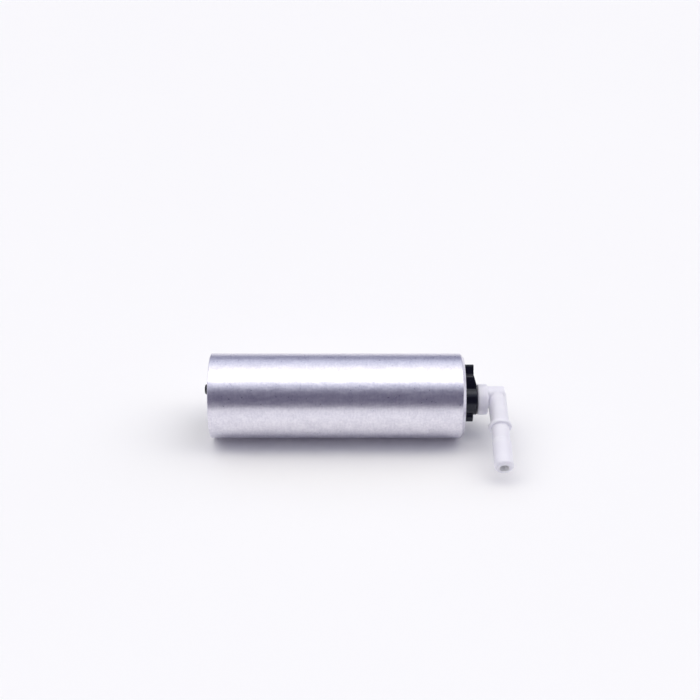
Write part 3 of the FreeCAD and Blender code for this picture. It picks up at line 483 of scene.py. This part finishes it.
# Can: a drawn aluminium tube. Both ends are rolled inwards over the covers and clamp the stack.
# The tube keeps the faint rings of its sizing, shallow waves and a cloudy, unpolished bloom.
def drawn_aluminium(name):
    """Aluminium tube: sizing rings, shallow waves and a cloudy, mottled bloom."""
    material, place = new_finish(name)
    rings = grain(about_axis(place), per_metre=1.0, detail=2.0, stretch=(1400.0, 300.0, 9.0))
    waves = grain(about_axis(place), per_metre=1.0, stretch=(110.0, 100.0, 3.5))
    mottle = grain(place, per_metre=850.0)
    bloom = grain(place, per_metre=300.0, detail=5.0, stretch=(0.6, 1.0, 1.0))
    tone = step_of(0.5 * bloom + 0.6 * mottle + 0.35 * rings, low=0.45, high=1.0)
    shade = blend_of((0.68, 0.665, 0.75, 1.0), (0.86, 0.845, 0.91, 1.0), tone)
    gloss = 0.20 + 0.08 * bloom + 0.13 * mottle
    height = 0.02 * rings + 0.7 * waves + 0.52 * mottle
    return set_shader(material, shade, gloss, height, depth=0.00008, metallic=1.0)


give(drawn_aluminium("drawn aluminium"), "can")


# Outlet elbow: natural white nylon, moulded in one piece, snapped into the boss where it can turn.
# Its leg ends in a collar, a neck and the spigot for the quick connector. A rubber ring seals it.
leg_axis_x = 0.08130
leg_droop = math.radians(14.0)
leg_passage_radius = 0.00235
passage_edge_start = 1.02 * leg_passage_radius
passage_edge_end = 1.10 * leg_passage_radius


def clear_nylon(name):
    """Nylon without pigment. The leg's passage is painted paler: a painted glow that stands in for the light
    soaking through its wall.
    """
    material, place = new_finish(name)
    along = coordinate(place, 0) - leg_axis_x
    upright = coordinate(place, 2) * math.cos(leg_droop) - coordinate(place, 1) * math.sin(leg_droop)
    reach = place.math_node("POWER", along * along + upright * upright, 0.5)
    outside = step_of(reach, low=passage_edge_start, high=passage_edge_end)
    flow = grain(place, per_metre=160.0, detail=4.0, stretch=(0.5, 1.0, 1.0))
    cloud = step_of(flow, low=0.40, high=0.75)
    skin = blend_of((0.845, 0.835, 0.900, 1.0), (0.890, 0.882, 0.935, 1.0), cloud)
    # Painted light: inside the passage the colour is near-white, a painted glow of the light that soaks
    # through the wall.
    shade = blend_of((0.98, 0.98, 1.0, 1.0), skin, outside)
    rubbed = step_of(grain(place, per_metre=350.0), low=0.45, high=0.62)
    pits = grain(place, per_metre=9000.0, detail=2.0)
    height = pits + 6.0 * grain(place, per_metre=220.0)
    return set_shader(
        material, shade, 0.36 - 0.07 * rubbed, height, depth=0.000002,
        Specular_IOR_Level=0.5, Subsurface_Weight=0.9, Subsurface_Scale=0.0020,
        Subsurface_Radius=(1.0, 1.0, 1.0),
    )


white_plastic = clear_nylon("white moulded nylon")
elbow_moulding = soft_edged(
    "elbow", "elbow_moulding", white_plastic, voxel=0.00015, rounds=8, kept_share=0.30
)
give(rubber, "elbow_seal")


# Table: a wide sheet of pale, matt paper, level with the underside of the can that lies on it.
# It isn't part of the pump.
floor_reach = 40.0
floor_height = cad_box[0].z


def table_sheet(name):
    """Matt paper, with a tone that hardly varies."""
    material, place = new_finish(name)
    tone = grain(place, per_metre=3.0, detail=2.0)
    shade = blend_of((0.945, 0.942, 0.935, 1.0), (0.960, 0.957, 0.950, 1.0), tone)
    return set_shader(
        material, shade, 0.9 + 0.02 * tone, tone, depth=0.00001, Specular_IOR_Level=0.1
    )


sheet_mesh = bpy.data.meshes.new("table_sheet")
corners = [(x, y, floor_height) for x, y in ((-1, -1), (1, -1), (1, 1), (-1, 1))]
sheet_mesh.from_pydata([(x * floor_reach, y * floor_reach, z) for x, y, z in corners], [], [(0, 1, 2, 3)])
sheet_mesh.materials.append(table_sheet("pale paper"))
table = bpy.data.objects.new("table_sheet", sheet_mesh)
bpy.context.scene.collection.objects.link(table)


# Studio: a pale strip at the horizon, dim violet walls above it, and overhead a wide soft box
# with a brighter core, in a tent of bluish cloth. All three run along the pump, so that the can
# shows them as bands. Degrees rise from the horizon in front, over the pump, to the back.
tent_start, tent_end, tent_soft_edge = 57.0, 149.0, 9.0
box_start, box_end, box_soft_edge = 74.0, 123.0, 5.0
core_start, core_end, core_soft_edge = 77.0, 99.0, 5.0
tent_half_length, tent_end_edge = 60.0, 4.0
tent_light = (0.82, 0.85, 1.00, 1.0)
box_light = (1.30, 1.28, 1.26, 1.0)
core_light = (2.55, 2.50, 2.42, 1.0)
front_wall = (0.125, 0.115, 0.180, 1.0)
back_wall = (0.26, 0.265, 0.38, 1.0)
horizon_light = (0.938, 0.931, 0.970, 1.0)
front_wall_end, back_wall_start = 90.0, 170.0
horizon_pale_to, horizon_gone_by = 1.8, 4.0

world = bpy.data.worlds.new("studio")
bpy.context.scene.world = world
world.use_nodes = True
room = Shade(world.node_tree)
way = room.node("ShaderNodeTexCoord", {}, {}, "Generated")
way_up = coordinate(way, 2)
rise = room.math_node("ARCTAN2", way_up, 0.0 - coordinate(way, 1)) * math.degrees(1.0)
side_angle = room.math_node("ARCSINE", coordinate(way, 0), 0.0)
swing = room.math_node("ABSOLUTE", side_angle, 0.0) * math.degrees(1.0)


def strip_of(start, end, soft_edge):
    """1 between two angles of the rise and 0 outside them."""
    entered = step_of(rise, start - soft_edge, start + soft_edge)
    left = step_of(rise, end - soft_edge, end + soft_edge)
    return entered * (1.0 - left)


within = 1.0 - step_of(swing, tent_half_length - tent_end_edge, tent_half_length + tent_end_edge)
walls = blend_of(front_wall, back_wall, step_of(rise, front_wall_end, back_wall_start))
tent = blend_of(walls, tent_light, strip_of(tent_start, tent_end, tent_soft_edge) * within)
box = blend_of(tent, box_light, strip_of(box_start, box_end, box_soft_edge) * within)
core = blend_of(box, core_light, strip_of(core_start, core_end, core_soft_edge) * within)
above_horizon = step_of(
    way_up, math.sin(math.radians(horizon_pale_to)), math.sin(math.radians(horizon_gone_by))
)
lit = blend_of(horizon_light, core, above_horizon)
background = world.node_tree.nodes["Background"]
world.node_tree.links.new(lit.socket, background.inputs["Color"])
background.inputs["Strength"].default_value = 1.0


# Camera: a long lens in front of the pump, looking down on it, as the photograph was taken.
# Colours are shown plainly, as they are written.
camera_data = bpy.data.cameras.new("camera")
camera_data.sensor_width = 36.0
camera_data.lens = 63.36
camera = bpy.data.objects.new("camera", camera_data)
camera.location = (0.0065, -0.5093, 0.3676)
camera.rotation_euler = (math.radians(56.3), 0.0, 0.0)
bpy.context.scene.collection.objects.link(camera)
bpy.context.scene.camera = camera
bpy.context.scene.view_settings.view_transform = "Standard"
